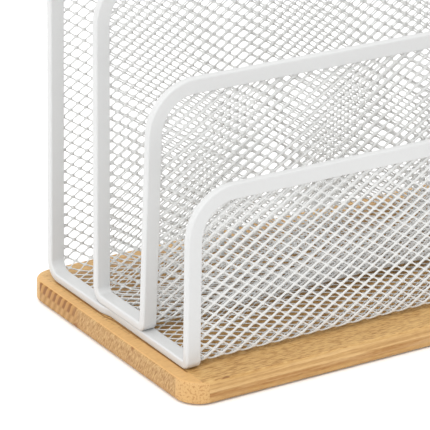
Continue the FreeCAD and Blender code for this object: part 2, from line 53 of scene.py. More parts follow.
STRIP_WIDTH = 6.0 * MM
STRIP_THICKNESS = 3.4 * MM
TOP_CORNER_RADIUS = 20.0 * MM
FRONT_BEND_RADIUS = 3.6 * MM
OUTER_BEND_RADIUS = 8.0 * MM
INNER_BEND_RADIUS = 6.0 * MM
WALL_STEP = 32.0 * MM
INNER_FRONT_LEAN = math.radians(1.9)
INNER_REAR_LEAN = math.radians(0.6)
SEAM_SETBACK = 56.0 * MM
BOARD_CORNER_RADIUS = 10.0 * MM
SCREW_INSET = 18.0 * MM
SCREW_RECESS_RADIUS = 3.2 * MM
SCREW_RECESS_DEPTH = 3.0 * MM
PAD_INSET = 16.0 * MM
PAD_SOCKET_RADIUS = 5.1 * MM
PAD_SOCKET_DEPTH = 1.5 * MM

board_low, board_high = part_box("base_board")
outer_low, outer_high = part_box("outer_tray_frame")
inner_low, inner_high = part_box("inner_tray_frame")
TRAY_HALF_WIDTH = outer_high.x
OUTER_FRONT_TOP = outer_high.z - 3 * WALL_STEP
INNER_FRONT_TOP = outer_high.z - 2 * WALL_STEP

# ------------------------------------------------------------------ finer sizes of the looks

STRIP_FOLD_RADIUS = 0.8 * MM
STRIP_LIP_RADIUS = 0.3 * MM
BOARD_EDGE_RADIUS = 1.2 * MM

# A strip has a station this far before and after its front bend, so that the flats stay flat.
BEND_MARGIN = 8.0 * MM

# The left rail stands a little out of line about its seam.
SEAM_REACH = 3.4 * MM
FOOT_DRIFT = 0.3 * MM
SEAM_DRIFT = 0.8 * MM
REAR_DRIFT = -0.6 * MM
DRIFT_FADE = 20.0 * MM

FRONT_STRAND_WIDTH = 0.65 * MM
REAR_STRAND_WIDTH = 0.49 * MM
STRAND_THICKNESS = 0.42 * MM
STRAND_BIAS = 0.07 * MM
STRAND_TILT = 0.08 * MM
REAR_STRAND_TILT = -0.2 * STRAND_TILT
MESH_COVER = 0.4 * MM

# Openings have their tips cut off at these shares of a side, where the strands join.
NEAR_ACUTE = 0.15
NEAR_OBTUSE = 0.84

# One opening of each wall: x, height, long pitch, short pitch, lean and slope.
OUTER_FRONT_WEAVE = (-116.2 * MM, 15.31 * MM, 7.165 * MM, 4.722 * MM, 0.015, 0.0013)
OUTER_REAR_WEAVE = (-98.39 * MM, 78.40 * MM, 7.019 * MM, 4.595 * MM, 0.0292, 0.0021)
INNER_FRONT_WEAVE = (-46.55 * MM, 84.04 * MM, 7.29 * MM, 4.71 * MM, 0.0, 0.0)
INNER_REAR_WEAVE = (-100.89 * MM, 91.20 * MM, 7.054 * MM, 4.514 * MM, 0.0264, -0.0346)

# Whole openings laid out beyond the edges of a sheet, which its outline then cuts off.
SPARE_OPENINGS = 3

# Cuts across each bend of a mesh sheet.
FRONT_BEND_CUTS = 4
REAR_BEND_CUTS = 5

# The strips and the mesh have one white powder coat. The mesh's white is set lighter as painted
# light, to lift its strands where they lie in shade.
STRIP_WHITE = (0.592, 0.595, 0.592)
LIFTED_MESH_WHITE = (0.668, 0.671, 0.660)


# ------------------------------------------------------------------ side view of a bent tray

class Profile:
    """Side view of a tray's middle surface, met by the distance run along the sheet.

    It starts at the top of the front wall, runs down, round the close front bend, along the
    floor, round the rear bend and up the rear wall. Positive depth is outside the U.
    """

    def __init__(self, foot, depth, bend, front_top, rear_top, front_lean, rear_lean):
        half = STRIP_THICKNESS / 2
        foot_radius = FRONT_BEND_RADIUS - half
        floor_z = foot[1] + half
        turn = math.pi / 2 - front_lean
        centre_y = foot[0] + depth - bend
        rise = (half - half * math.sin(front_lean)) / math.cos(front_lean)
        corner_y = foot[0] + half * math.cos(front_lean) - rise * math.sin(front_lean)
        drop = (front_top - floor_z) / math.cos(front_lean)
        cut = foot_radius * math.tan(turn / 2)
        bend_radius = bend - half
        rear_turn = math.pi / 2 - rear_lean
        start = (corner_y - drop * math.sin(front_lean), floor_z + drop * math.cos(front_lean))
        rear_z = foot[1] + bend - bend_radius * math.sin(rear_lean)
        lengths = (drop - cut, foot_radius * turn, centre_y - corner_y - cut,
                   bend_radius * rear_turn, (rear_top - rear_z) / math.cos(rear_lean))
        turns = (0.0, turn, 0.0, rear_turn, 0.0)
        self.front_top, self.rear_top = front_top, rear_top
        self.front_lean, self.rear_lean = front_lean, rear_lean
        self.pieces = []
        run, place, heading = 0.0, start, -turn
        for length, angle in zip(lengths, turns):
            self.pieces.append((run, length, place, heading, angle))
            place = self._step(place, heading, angle, length, length)
            heading += angle
            run += length
        self.length = run
        self.wall_end = self.pieces[1][0]
        self.foot_run = self.pieces[2][0]
        self.floor_end = self.pieces[3][0]
        self.bend_end = self.pieces[4][0]

    @staticmethod
    def _step(place, heading, angle, length, run):
        """Where a run leads along one straight or round piece."""
        if angle == 0.0:
            return (place[0] + run * math.cos(heading), place[1] + run * math.sin(heading))
        radius = length / angle
        now = heading + run / radius
        return (place[0] + radius * (math.sin(now) - math.sin(heading)),
                place[1] - radius * (math.cos(now) - math.cos(heading)))

    def place(self, x, run, depth):
        """Point in space of a point of the flat sheet."""
        chosen = self.pieces[-1]
        for piece in self.pieces:
            if run < piece[0] + piece[1] - 1e-9:
                chosen = piece
                break
        begin, length, place, heading, angle = chosen
        offset = run - begin
        y, z = self._step(place, heading, angle, length, offset)
        if angle:
            heading += offset * angle / length
        return Vector((x, y + depth * math.sin(heading), z - depth * math.cos(heading)))


def tray_profiles():
    """Profiles of the outer and the inner tray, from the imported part's boxes and the two leans."""
    outer = Profile((outer_low.y, outer_low.z), outer_high.y - outer_low.y,
                    OUTER_BEND_RADIUS, OUTER_FRONT_TOP, outer_high.z, 0.0, 0.0)
    rise_front = INNER_FRONT_TOP - inner_low.z
    rise_rear = inner_high.z - inner_low.z
    foot_y = inner_low.y + rise_front * math.tan(INNER_FRONT_LEAN)
    rear_y = inner_high.y - rise_rear * math.tan(INNER_REAR_LEAN)
    inner = Profile((foot_y, inner_low.z), rear_y - foot_y, INNER_BEND_RADIUS,
                    INNER_FRONT_TOP, inner_high.z, INNER_FRONT_LEAN, INNER_REAR_LEAN)
    return outer, inner


# ------------------------------------------------------------------ mesh helpers

def add_object(name, data):
    """New object in the scene."""
    made = bpy.data.objects.new(name, data)
    bpy.context.scene.collection.objects.link(made)
    return made


def new_piece(name, vertices, faces):
    """Smooth mesh object from plain lists, with outward normals."""
    mesh = bpy.data.meshes.new(name)
    mesh.from_pydata([tuple(v) for v in vertices], [], faces)
    mesh.validate()
    work = bmesh.new()
    work.from_mesh(mesh)
    bmesh.ops.recalc_face_normals(work, faces=work.faces)
    work.to_mesh(mesh)
    work.free()
    mesh.shade_smooth()
    return add_object(name, mesh)


def dress(piece, material):
    """Give a piece this one material."""
    piece.data.materials.clear()
    piece.data.materials.append(material)


def finish_piece(piece, material, node):
    """Give a new piece its material and its body, and hide the CAD node that it stands for."""
    dress(piece, material)
    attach(piece, "root")
    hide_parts(node)


def rounded_rectangle(half_x, half_y, radii, steps):
    """Points round a rectangle, with a radius for each corner, counter-clockwise."""
    points = []
    corners = zip(((1, 1), (-1, 1), (-1, -1), (1, -1)), radii)
    for quarter, ((sign_x, sign_y), radius) in enumerate(corners):
        for step in range(steps + 1):
            angle = math.pi / 2 * (quarter + step / steps)
            points.append((sign_x * (half_x - radius) + radius * math.cos(angle),
                           sign_y * (half_y - radius) + radius * math.sin(angle)))
    return points


# ------------------------------------------------------------------ expanded mesh

def opening_corners(width, long_pitch, short_pitch):
    """Eight points round one opening, about its centre, counter-clockwise from the right.

    The two sets of strands differ a little in width, by the bias.
    """
    angle = math.atan2(short_pitch, long_pitch)
    half_x = long_pitch / 2 - width / 2 / math.sin(angle)
    half_s = short_pitch / 2 - width / 2 / math.cos(angle)
    tips = [(half_x, 0.0), (0.0, half_s), (-half_x, 0.0), (0.0, -half_s)]
    points = []
    for number, tip in enumerate(tips):
        after = tips[(number + 1) % 4]
        if number % 2:
            shares, bias = (1 - NEAR_OBTUSE, 1 - NEAR_ACUTE), STRAND_BIAS / 2
        else:
            shares, bias = (NEAR_ACUTE, NEAR_OBTUSE), -STRAND_BIAS / 2
        out_x = (tip[0] + after[0]) / half_x * half_s
        out_s = (tip[1] + after[1]) / half_s * half_x
        shift = bias / math.hypot(out_x, out_s)
        for share in shares:
            points.append((tip[0] + share * (after[0] - tip[0]) + shift * out_x,
                           tip[1] + share * (after[1] - tip[1]) + shift * out_s))
    return points


class Weave:
    """Where the openings lie: each wall has its own pitch, and the floor eases between them.

    Each wall is given as (x, run, long pitch, short pitch, lean, slope) of one opening in it:
    the lean is how far the columns shift along X for each run, and the slope how far the rows
    shift in run for each X.
    """

    def __init__(self, profile, front, rear):
        self.begin, self.end = profile.wall_end, profile.bend_end
        self.walls = front, rear
        columns = [round(x / (long_pitch / 2)) for x, _, long_pitch, *_ in self.walls]
        self.middles = [wall[0] - column * wall[2] / 2
                        for wall, column in zip(self.walls, columns)]
        before = self._rows(front[1], front[3] / 2, -SPARE_OPENINGS * front[3], self.begin)
        behind = self._rows(rear[1], rear[3] / 2, self.end,
                            profile.length + SPARE_OPENINGS * rear[3])
        gap = behind[0] - before[-1]
        count = round(gap / ((front[3] + rear[3]) / 4))
        first_row = round((front[1] - before[0]) / (front[3] / 2))
        last_row = len(before) - 1 + count + round((rear[1] - behind[0]) / (rear[3] / 2))
        if (last_row + columns[1] - first_row - columns[0]) % 2:
            count += 1
        self.runs = before + [before[-1] + gap * n / count for n in range(1, count)] + behind
        self.parity = (first_row + columns[0]) % 2

    @staticmethod
    def _rows(run, half, low, high):
        """Runs of the rows of openings between two limits."""
        first = math.ceil((low - run) / half)
        last = math.floor((high - run) / half)
        return [run + number * half for number in range(first, last + 1)]

    def _blend(self, pair, run):
        """The front wall's value, the rear wall's, or what lies between on the floor."""
        share = max(0.0, min(1.0, (run - self.begin) / (self.end - self.begin)))
        return pair[0] + (pair[1] - pair[0]) * share

    def long_pitch(self, run):
        """Long pitch at a run."""
        return self._blend([wall[2] for wall in self.walls], run)

    def centre(self, column, row):
        """Centre of an opening: (x, run)."""
        run = self.runs[row]
        places = []
        for middle, (x, start, pitch, _, lean, slope) in zip(self.middles, self.walls):
            across = middle + column * pitch / 2
            places.append((across + lean * (run - start), run + slope * (across - x)))
        return tuple(self._blend(pair, run) for pair in zip(*places))


def flat_sheet(profile, weave):
    """Front face of the flat sheet: its points (x, run, depth) and its faces.

    From the rear bend on, the strands are the thinner ones. Their two edges stand off the
    sheet's plane by the tilt, to either side.
    """
    half = TRAY_HALF_WIDTH - MESH_COVER
    radius = TOP_CORNER_RADIUS - MESH_COVER
    columns = int(2 * half / min(wall[2] for wall in weave.walls)) + 2 * SPARE_OPENINGS

    def held(x, run):
        """The nearest point within the sheet's outline, which the strips cover."""
        x = max(-half, min(half, x))
        near = min(max(run, MESH_COVER), profile.length - MESH_COVER)
        over_x = abs(x) - (half - radius)
        over_s = radius + MESH_COVER - min(near, profile.length - near)
        excess = math.hypot(over_x, over_s) / radius
        if over_x > 0 and over_s > 0 and excess > 1:
            x -= math.copysign(over_x * (1 - 1 / excess), x)
            near += math.copysign(over_s * (1 - 1 / excess), profile.length / 2 - near)
        return x, near

    first = {}
    points = []
    for row in range(1, len(weave.runs) - 1):
        run = weave.runs[row]
        width = FRONT_STRAND_WIDTH if run < profile.floor_end else REAR_STRAND_WIDTH
        corners = opening_corners(width, weave.long_pitch(run),
                                  weave.runs[row + 1] - weave.runs[row - 1])
        tilt = STRAND_TILT if run < weave.end else REAR_STRAND_TILT
        for column in range(-columns, columns + 1):
            x, middle = weave.centre(column, row)
            if (row + column) % 2 != weave.parity or held(x, middle) != (x, middle):
                continue
            first[(column, row)] = len(points)
            for dx, ds in corners:
                lift = -tilt if ds > 0 else tilt
                points.append((*held(x + dx, middle + ds), lift))
    faces = []
    for (column, row), base in first.items():
        right = first.get((column + 1, row + 1))
        left = first.get((column - 1, row + 1))
        if right is not None:
            faces.append((base + 0, base + 1, right + 4, right + 5))
        if left is not None:
            faces.append((base + 2, base + 3, left + 6, left + 7))
        upper = first.get((column, row + 2))
        if right is not None and left is not None and upper is not None:
            faces.append((left + 7, left + 0, upper + 5, upper + 6,
                          right + 3, right + 4, base + 1, base + 2))
    return points, faces


def thicken(points, faces):
    """Close the sheet: a back face one strand thickness away, and walls round every edge."""
    count = len(points)
    back = [(x, run, depth - STRAND_THICKNESS) for x, run, depth in points]
    half = STRAND_THICKNESS / 2
    everything = [(x, run, depth + half) for x, run, depth in points + back]
    solid = [tuple(face) for face in faces]
    solid += [tuple(index + count for index in reversed(face)) for face in faces]
    edges = {}
    for face in faces:
        edges.update(dict.fromkeys(zip(face, face[1:] + face[:1])))
    for a, b in edges:
        if (b, a) not in edges:
            solid.append((b, a, a + count, b + count))
    return everything, solid


def bend_cuts(profile):
    """Runs at which the flat sheet needs a cut, so that it bends smoothly."""
    cuts = []
    for begin, end, count in ((profile.wall_end, profile.foot_run, FRONT_BEND_CUTS),
                              (profile.floor_end, profile.bend_end, REAR_BEND_CUTS)):
        for number in range(count + 1):
            cuts.append(begin + (end - begin) * number / count)
    return cuts


def wall_weave(profile, front, rear):
    """The weave of a tray, from one opening of each wall.

    Seen from in front, the lean is how far the columns shift to the left for each rise, and
    the slope how far the rows sink for each step to the right.
    """
    x, height, *pitches, lean, slope = front
    run = (profile.front_top - height) / math.cos(profile.front_lean)
    front = (x, run, *pitches, lean, slope)
    x, height, *pitches, lean, slope = rear
    run = profile.length - (profile.rear_top - height) / math.cos(profile.rear_lean)
    rear = (x, run, *pitches, -lean, -slope)
    return Weave(profile, front, rear)


def make_mesh(name, profile, weave, material):
    """One bent sheet of expanded mesh."""
    points, faces = flat_sheet(profile, weave)
    points, faces = thicken(points, faces)
    mesh = bpy.data.meshes.new(name)
    mesh.from_pydata(points, [], faces)
    work = bmesh.new()
    work.from_mesh(mesh)
    reach = max(wall[2] for wall in weave.walls)
    for cut in bend_cuts(profile):
        near = [face for face in work.faces
                if abs(face.calc_center_median().y - cut) < reach]
        edges = {edge for face in near for edge in face.edges}
        verts = {vert for face in near for vert in face.verts}
        bmesh.ops.bisect_plane(work, geom=list(verts) + list(edges) + near,
                               plane_co=(0, cut, 0), plane_no=(0, 1, 0))
    bmesh.ops.recalc_face_normals(work, faces=work.faces)
    for vert in work.verts:
        x, run, depth = vert.co
        vert.co = profile.place(x, run, depth)
    bmesh.ops.recalc_face_normals(work, faces=work.faces)
    work.to_mesh(mesh)
    work.free()
    mesh.shade_smooth()
    finish_piece(add_object(name, mesh), material,
                 name.replace("expanded", "tray_mesh"))


# ------------------------------------------------------------------ folded steel strips

def strip_section():
    """Section of the folded strip, as (across, depth) pairs: round fold, crisp inner lips."""
    radii = (STRIP_FOLD_RADIUS, STRIP_LIP_RADIUS, STRIP_LIP_RADIUS, STRIP_FOLD_RADIUS)
    return rounded_rectangle(STRIP_WIDTH / 2, STRIP_THICKNESS / 2, radii, steps=4)


def strip_path(profile, seam):
    """Stations round the flat sheet's edge: (x, run, outward x, outward run).

    It starts in the left floor rail, behind the seam if there is one, and goes forward.
    """
    half = TRAY_HALF_WIDTH - STRIP_WIDTH / 2
    radius = TOP_CORNER_RADIUS - STRIP_WIDTH / 2
    top = STRIP_WIDTH / 2
    end = profile.length - STRIP_WIDTH / 2
    corner_steps, foot_steps, bend_steps, seam_steps = 10, 6, 8, 4
    foot = profile.foot_run
    rails = [foot + (profile.wall_end - foot) * n / foot_steps for n in range(foot_steps + 1)]
    rails = [foot + BEND_MARGIN, *rails, profile.wall_end - BEND_MARGIN]
    bend = [profile.bend_end + (profile.floor_end - profile.bend_end) * n / bend_steps
            for n in range(bend_steps + 1)]
    middle = (foot + profile.floor_end) / 2

    def corner(centre_x, centre_run, first):
        """Quarter circle of stations."""
        stations = []
        for step in range(corner_steps + 1):
            angle = math.radians(first + 90 * step / corner_steps)
            stations.append((centre_x + radius * math.cos(angle),
                             centre_run + radius * math.sin(angle),
                             math.cos(angle), math.sin(angle)))
        return stations

    def side(sign, runs):
        """Stations down one straight side."""
        return [(sign * half, run, sign, 0.0) for run in runs]

    path = side(-1, [middle] if seam is None else
                [seam + SEAM_REACH * n / seam_steps
                 for n in range(seam_steps + 1, -seam_steps - 2, -1)])
    path += side(-1, rails)
    path += corner(radius - half, top + radius, 180)
    path += corner(half - radius, top + radius, 270)
    path += side(1, rails[::-1] + [middle] + bend[::-1])
    path += corner(half - radius, end - radius, 0)
    path += corner(radius - half, end - radius, 90)
    return path + side(-1, bend)


def seam_drift(profile, seam, x, run):
    """How far the left side stands off its nominal line about the seam, along X."""
    share = max(0.0, min(1.0, -x / TRAY_HALF_WIDTH)) ** 2
    if run < profile.foot_run:
        return share * FOOT_DRIFT * max(0.0, 1 - (profile.foot_run - run) / DRIFT_FADE)
    before = FOOT_DRIFT + (SEAM_DRIFT - FOOT_DRIFT) * (run - profile.foot_run) / SEAM_SETBACK
    behind = REAR_DRIFT * max(0.0, 1 - max(0.0, run - profile.floor_end) / DRIFT_FADE)
    step = max(0.0, min(1.0, 0.5 + (run - seam) / SEAM_REACH / 2))
    step = step * step * (3 - 2 * step)
    return share * (before + (behind - before) * step)


def make_strip(name, profile, seam, material):
    """Steel strip folded round the tray's edge, bent with it, and off its line at a seam."""
    section = strip_section()
    path = strip_path(profile, seam)
    points = []
    for x, run, out_x, out_run in path:
        drift = 0.0 if seam is None else seam_drift(profile, seam, x, run)
        for across, depth in section:
            points.append(profile.place(x + across * out_x + drift, run + across * out_run,
                                        depth))
    size = len(section)
    faces = []
    for station in range(len(path)):
        here = station * size
        there = (station + 1) % len(path) * size
        for number in range(size):
            after = (number + 1) % size
            faces.append((here + number, here + after, there + after, there + number))
    strip = new_piece(name, points, faces)
    strip.modifiers.new("even faces", "WEIGHTED_NORMAL")
    finish_piece(strip, material, name.replace("strip", "tray_frame"))


# ------------------------------------------------------------------ bamboo board

def rounded_outline(inset):
    """Plan outline of the board, set in by a distance."""
    return rounded_rectangle(board_high.x - inset, board_high.y - inset,
                             [BOARD_CORNER_RADIUS - inset] * 4, steps=10)


def board_holes():
    """Counterbores of the screws and sockets of the pads: (x, y, radius, depth)."""
    screw_x = TRAY_HALF_WIDTH - STRIP_WIDTH / 2
    screws = [(side * screw_x, y, SCREW_RECESS_RADIUS, SCREW_RECESS_DEPTH) for side in (-1, 1)
              for y in (outer_low.y + SCREW_INSET, outer_high.y - SCREW_INSET)]
    pads = [(side * (board_high.x - PAD_INSET), end * (board_high.y - PAD_INSET),
             PAD_SOCKET_RADIUS, PAD_SOCKET_DEPTH) for side in (-1, 1) for end in (-1, 1)]
    return screws + pads


def sink_holes(mesh, holes, steps=40):
    """Blind round holes in the board's underside."""
    work = bmesh.new()
    work.from_mesh(mesh)
    below = max((face for face in work.faces if face.normal.z < -0.99),
                key=lambda face: face.calc_area())
    borders = list(below.edges)
    bmesh.ops.delete(work, geom=[below], context="FACES_ONLY")
    for x, y, radius, depth in holes:
        rings = []
        for z in (board_low.z, board_low.z + depth):
            rings.append([work.verts.new((x + radius * math.cos(2 * math.pi * n / steps),
                                          y + radius * math.sin(2 * math.pi * n / steps), z))
                          for n in range(steps)])
        low, high = rings
        for n in range(steps):
            after = (n + 1) % steps
            work.faces.new((low[n], low[after], high[after], high[n]))
            borders.append(work.edges.get((low[n], low[after])))
        work.faces.new(high)
    bmesh.ops.triangle_fill(work, edges=borders, use_beauty=True, normal=(0, 0, -1))
    bmesh.ops.recalc_face_normals(work, faces=work.faces)
    work.to_mesh(mesh)
    work.free()


def make_board(material):
    """Board with rounded corners and eased arrises, drilled from below."""
    steps = 5
    rings = []
    for step in range(steps + 1):
        angle = math.pi / 2 * step / steps
        rings.append((BOARD_EDGE_RADIUS * (1 - math.sin(angle)),
                      board_low.z + BOARD_EDGE_RADIUS * (1 - math.cos(angle))))
    rings += [(inset, board_low.z + board_high.z - z) for inset, z in reversed(rings)]
    points, faces = [], []
    for inset, z in rings:
        points += [(x, y, z) for x, y in rounded_outline(inset)]
    size = len(rounded_outline(0.0))
    for ring in range(len(rings) - 1):
        for number in range(size):
            after = (number + 1) % size
            a, b = ring * size, (ring + 1) * size
            faces.append((a + number, a + after, b + after, b + number))
    faces.append(tuple(reversed(range(size))))
    faces.append(tuple(range((len(rings) - 1) * size, len(rings) * size)))
    board = new_piece("bamboo_board", points, faces)
    sink_holes(board.data, board_holes())
    board.modifiers.new("even faces", "WEIGHTED_NORMAL")
    finish_piece(board, material, "base_board")


# ------------------------------------------------------------------ materials

class Shader:
    """A Principled material under construction."""

    def __init__(self, name, **values):
        self.material = bpy.data.materials.new(name)
        self.material.use_nodes = True
        self.nodes = self.material.node_tree.nodes
        self.links = self.material.node_tree.links
        self.surface = self.nodes["Principled BSDF"]
        for socket, value in values.items():
            self.surface.inputs[socket.replace("_", " ")].default_value = value
        self.coordinates = self.nodes.new("ShaderNodeTexCoord")

    def link(self, source, target):
        """Join an output to an input."""
        self.links.new(source, target)

    def split(self, output):
        """The three parts of a texture coordinate."""
        node = self.nodes.new("ShaderNodeSeparateXYZ")
        self.link(self.coordinates.outputs[output], node.inputs["Vector"])
        return [node.outputs[axis] for axis in "XYZ"]

    def clamped(self, value, low, high):
        """Zero at low, one at high, even in between and held beyond; low may be the larger."""
        node = self.nodes.new("ShaderNodeMapRange")
        node.inputs["From Min"].default_value = low
        node.inputs["From Max"].default_value = high
        self.link(value, node.inputs["Value"])
        return node.outputs["Result"]

    def joined(self, x, y, z):
        """One vector from three values."""
        node = self.nodes.new("ShaderNodeCombineXYZ")
        for axis, value in zip("XYZ", (x, y, z)):
            self.link(value, node.inputs[axis])
        return node.outputs["Vector"]

    def place(self, scale, vector):
        """Object coordinates in metres, or the vector given, scaled per axis."""
        node = self.nodes.new("ShaderNodeMapping")
        node.inputs["Scale"].default_value = scale
        self.link(vector or self.coordinates.outputs["Object"], node.inputs["Vector"])
        return node.outputs["Vector"]

    def noise(self, scale, detail=2.0, roughness=0.5, distortion=0.0, vector=None):
        """Fractal noise with its own scale per axis."""
        node = self.nodes.new("ShaderNodeTexNoise")
        node.inputs["Scale"].default_value = 1.0
        node.inputs["Detail"].default_value = detail
        node.inputs["Roughness"].default_value = roughness
        node.inputs["Distortion"].default_value = distortion
        self.link(self.place(scale, vector), node.inputs["Vector"])
        return node.outputs["Fac"]

    def ramp(self, source, *stops):
        """Colours along a value: stops are (position, colour)."""
        node = self.nodes.new("ShaderNodeValToRGB")
        marks = node.color_ramp.elements
        while len(marks) < len(stops):
            marks.new(0.5)
        for mark, (position, colour) in zip(marks, stops):
            mark.position = position
            mark.color = (*colour, 1.0)
        self.link(source, node.inputs["Fac"])
        return node.outputs["Color"]

    def math(self, operation, first, second=None, third=None):
        """Math node on sockets or plain numbers."""
        node = self.nodes.new("ShaderNodeMath")
        node.operation = operation
        for socket, value in zip(node.inputs, (first, second, third)):
            if value is None:
                continue
            if isinstance(value, (int, float)):
                socket.default_value = value
            else:
                self.link(value, socket)
        return node.outputs["Value"]

    def product(self, first, *others):
        """Values multiplied together."""
        for other in others:
            first = self.math("MULTIPLY", first, other)
        return first

    def mix(self, share, first, second):
        """Two colours mixed by a value or by a plain share."""
        node = self.nodes.new("ShaderNodeMix")
        node.data_type = "RGBA"
        colour_in = [s for s in node.inputs if s.type == "RGBA"]
        for socket, value in zip([node.inputs[0]] + colour_in, (share, first, second)):
            if isinstance(value, (int, float)):
                socket.default_value = value
            elif isinstance(value, tuple):
                socket.default_value = (*value, 1.0)
            else:
                self.link(value, socket)
        return [s for s in node.outputs if s.type == "RGBA"][0]

    def bump(self, height, distance, under=None):
        """Small relief, in metres."""
        node = self.nodes.new("ShaderNodeBump")
        node.inputs["Strength"].default_value = 1.0
        node.inputs["Distance"].default_value = distance
        self.link(height, node.inputs["Height"])
        if under is not None:
            self.link(under, node.inputs["Normal"])
        return node.outputs["Normal"]

    def use(self, **sockets):
        """Join made outputs to the shader's own inputs."""
        for socket, source in sockets.items():
            self.link(source, self.surface.inputs[socket.replace("_", " ")])
        return self.material


def rgb(*parts):
    """Linear colour from the usual values of 0 to 255."""
    return tuple(((part / 255 + 0.055) / 1.055) ** 2.4 for part in parts)


def powder_coat(name, colour):
    """White powder coat with a faint orange peel and slight dust in the gloss."""
    shader = Shader(name, Specular_IOR_Level=0.45, Coat_Weight=0.12, Coat_Roughness=0.25)
    peel = shader.noise((620, 620, 620), detail=2.0)
    grain = shader.noise((2600, 2600, 2600), detail=1.0)
    relief = shader.bump(grain, 0.004 * MM, under=shader.bump(peel, 0.03 * MM))
    tone = shader.noise((34, 34, 34), detail=3.0)
    darker = tuple(c * 0.975 for c in colour)
    return shader.use(Base_Color=shader.ramp(tone, (0.3, darker), (0.7, colour)),
                      Roughness=shader.math("MULTIPLY_ADD", peel, 0.12, 0.36), Normal=relief)


# The paler strip along the board's left edge is narrower at the back.
PALE_MARGIN_FRONT = 6.5 * MM
PALE_MARGIN_BACK = 3.5 * MM
TAPER_FRONT = -40.0 * MM
TAPER_BACK = 10.0 * MM

# The layers of bamboo that show in the board's ends slant, and show towards the back.
LAYER_PITCH = 3.9 * MM
LAYER_WAVE = 0.9 * MM
LAYER_SLANT = 0.55
LAYERS_BEGIN = 18.0 * MM
LAYERS_FULL = 26.0 * MM

# Painted shade: the wood is coloured darker under the tray, where its shadow falls. It sets in over
# these distances in from its box.
SHADE_SIDES = (3.5 * MM, 7.5 * MM)
SHADE_FRONT = (0.75 * MM, 5.75 * MM)
SHADE_BACK = (0.25 * MM, 4.25 * MM)

# Painted contact shadow: the dark line where the rails rest lies further in ahead of the seam than
# behind it, steps over between two places along Y, and fades at its front and back ends.
LINE_IN_AHEAD = 0.4 * MM
LINE_OUT_BEHIND = 0.7 * MM
LINE_STEP_BACK = 9.2 * MM
LINE_STEP_FRONT = 3.4 * MM
LINE_REACH = 0.5 * MM
LINE_CORE = 0.3 * MM
LINE_FRONT = (-0.45 * MM, 0.15 * MM)
LINE_BACK = (4.25 * MM, 9.25 * MM)


def board_top(shader, x, y, grain):
    """Upper face: long fibres in patches, a paler strip along the left edge, and specks."""
    patch = shader.noise((14, 60, 60), detail=2.0)
    tint = shader.ramp(patch, (0.36, rgb(168, 123, 67)), (0.62, rgb(194, 153, 95)))
    top = shader.mix(0.35, grain, tint)
    pale = shader.mix(0.7, top, rgb(207, 162, 103))
    margin = shader.math("MULTIPLY_ADD", shader.clamped(y, TAPER_FRONT, TAPER_BACK),
                         PALE_MARGIN_BACK - PALE_MARGIN_FRONT, board_low.x + PALE_MARGIN_FRONT)
    top = shader.mix(shader.math("LESS_THAN", x, margin), top, pale)
    skin = shader.noise((90, 90, 90), detail=1.0)
    return shader.mix(shader.clamped(skin, 0.73, 0.77), top, rgb(137, 94, 48))


def board_front(shader, streak, frayed, grain):
    """Front and back: three layers one on the other, the middle one darker, and fine lines."""
    bands = shader.ramp(frayed, (0.12, rgb(184, 144, 88)), (0.20, rgb(176, 132, 72)),
                        (0.27, rgb(140, 86, 30)), (0.50, rgb(148, 96, 38)),
                        (0.57, rgb(196, 156, 100)), (0.90, rgb(196, 158, 102)),
                        (0.98, rgb(168, 124, 62)))
    lines = shader.ramp(streak, (0.38, rgb(142, 92, 40)), (0.50, rgb(190, 148, 90)),
                        (0.62, rgb(228, 194, 142)))
    front = shader.mix(0.42, bands, lines)
    return shader.mix(0.18, front, grain)


def board_ends(shader, x, y, z, laid, frayed):
    """Left and right ends: cut fibres, and slanting layers towards the back."""
    slant = shader.math("MULTIPLY_ADD", z, LAYER_SLANT, y)
    dense = shader.noise((700, 1300, 420), detail=3.0, roughness=0.65,
                         vector=shader.joined(x, slant, z))
    cut = shader.ramp(dense, (0.34, rgb(144, 100, 49)), (0.48, rgb(172, 132, 81)),
                      (0.62, rgb(193, 158, 105)))
    lower = shader.clamped(frayed, 0.30, 0.10)
    cut = shader.mix(shader.product(lower, 0.6), cut, rgb(166, 122, 72))

    wave = shader.product(shader.noise((260, 260, 260)), LAYER_WAVE)
    pace = shader.math("DIVIDE", shader.math("ADD", slant, wave), LAYER_PITCH)
    skins = shader.ramp(shader.math("FRACT", pace), (0.0, rgb(129, 81, 30)),
                        (0.34, rgb(135, 86, 34)), (0.52, rgb(171, 123, 63)),
                        (0.88, rgb(179, 133, 73)), (1.0, rgb(131, 83, 32)))
    faded = shader.ramp(shader.math("FRACT", shader.math("ADD", pace, 0.35)),
                        (0.0, rgb(154, 110, 54)), (0.5, rgb(185, 144, 89)),
                        (1.0, rgb(154, 110, 54)))
    stacked = shader.mix(shader.clamped(laid, 0.40, 0.52), faded, skins)
    ends = shader.mix(shader.clamped(y, LAYERS_BEGIN, LAYERS_FULL), cut, stacked)
    knot = shader.noise((110, 110, 110), detail=1.0)
    return shader.mix(shader.clamped(knot, 0.71, 0.75), ends, rgb(140, 92, 44))


